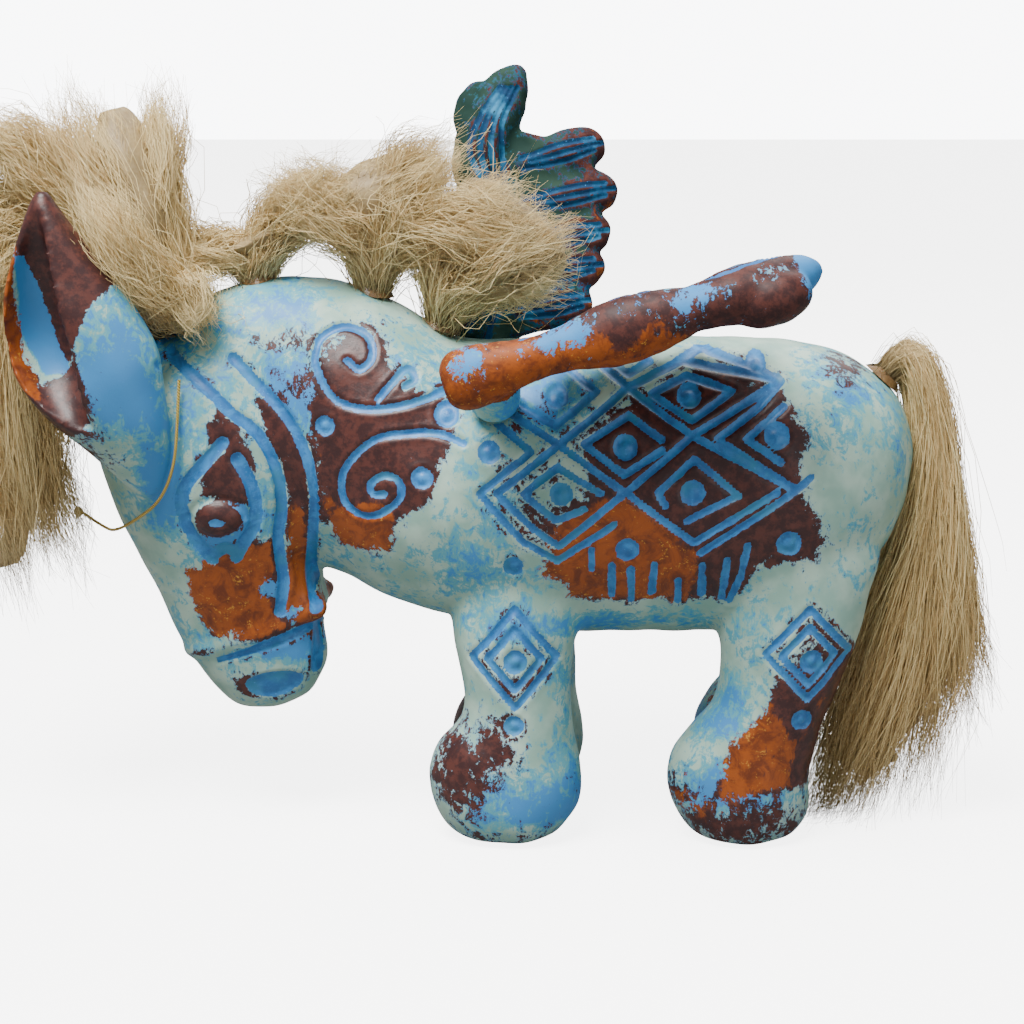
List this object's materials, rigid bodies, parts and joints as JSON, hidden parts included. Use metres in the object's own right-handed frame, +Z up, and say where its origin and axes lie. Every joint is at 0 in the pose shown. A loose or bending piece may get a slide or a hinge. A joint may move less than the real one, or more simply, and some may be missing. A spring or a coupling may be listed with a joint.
{
  "type": "winged pottery donkey figure",
  "caption": "Hollow pottery donkey with plug-in feathered wings, carved bands and diamonds under layered paint, and sisal forelock, mane and tail.",
  "frame": {"origin": "bottom centre of the whole figure's box, on the floor the hooves stand on", "axes": "+X from the nose towards the tail, +Y towards the figure's right side, +Z up"},
  "size_m": [0.3044, 0.1286, 0.2245],
  "materials": {
    "painted_clay": "satin",
    "wing_clay": "satin",
    "eye_clay": "satin",
    "sisal": "coarse fibre",
    "glue": "glossy",
    "thread": "twisted",
    "dowel_wood": "bare"
  },
  "bodies": {
    "shell": {"barrel": "painted_clay", "neck": "painted_clay", "head": "painted_clay", "left_front_leg": "painted_clay", "left_rear_leg": "painted_clay", "left_ear": "painted_clay", "left_eye": "eye_clay", "left_jaw_knob": "painted_clay", "right_front_leg": "painted_clay", "right_rear_leg": "painted_clay", "right_ear": "painted_clay", "right_eye": "eye_clay", "right_jaw_knob": "painted_clay", "poll_tuft": "sisal", "forelock_tuft": "sisal", "mane_tuft_1": "sisal", "mane_tuft_2": "sisal", "mane_tuft_3": "sisal", "tail_tuft": "sisal", "poll_glue": "glue", "mane_glue_1": "glue", "mane_glue_2": "glue", "mane_glue_3": "glue", "tail_glue": "glue", "tag_thread": "thread", "thread_knot": "thread"},
    "left_wing_dowel": {"left_wing_dowel": "dowel_wood"},
    "right_wing_dowel": {"right_wing_dowel": "dowel_wood"},
    "left_wing": {"left_wing": "wing_clay"},
    "right_wing": {"right_wing": "wing_clay"}
  },
  "joints": [
    {"name": "left_wing_pull", "type": "slide", "parent": "shell", "child": "left_wing_dowel", "axis": [0, -0.788, 0.6157], "range_m": [0, 0.02]},
    {"name": "left_wing_turn", "type": "hinge", "parent": "left_wing_dowel", "child": "left_wing", "pos_m": [0.00921, -0.02394, 0.1309], "axis": [0, -0.788, 0.6157], "range_deg": [-6, 8]},
    {"name": "right_wing_pull", "type": "slide", "parent": "shell", "child": "right_wing_dowel", "axis": [0, 0.788, 0.6157], "range_m": [0, 0.02]},
    {"name": "right_wing_turn", "type": "hinge", "parent": "right_wing_dowel", "child": "right_wing", "pos_m": [0.00921, 0.03506, 0.1309], "axis": [0, 0.788, 0.6157], "range_deg": [-10, 10]}
  ]
}
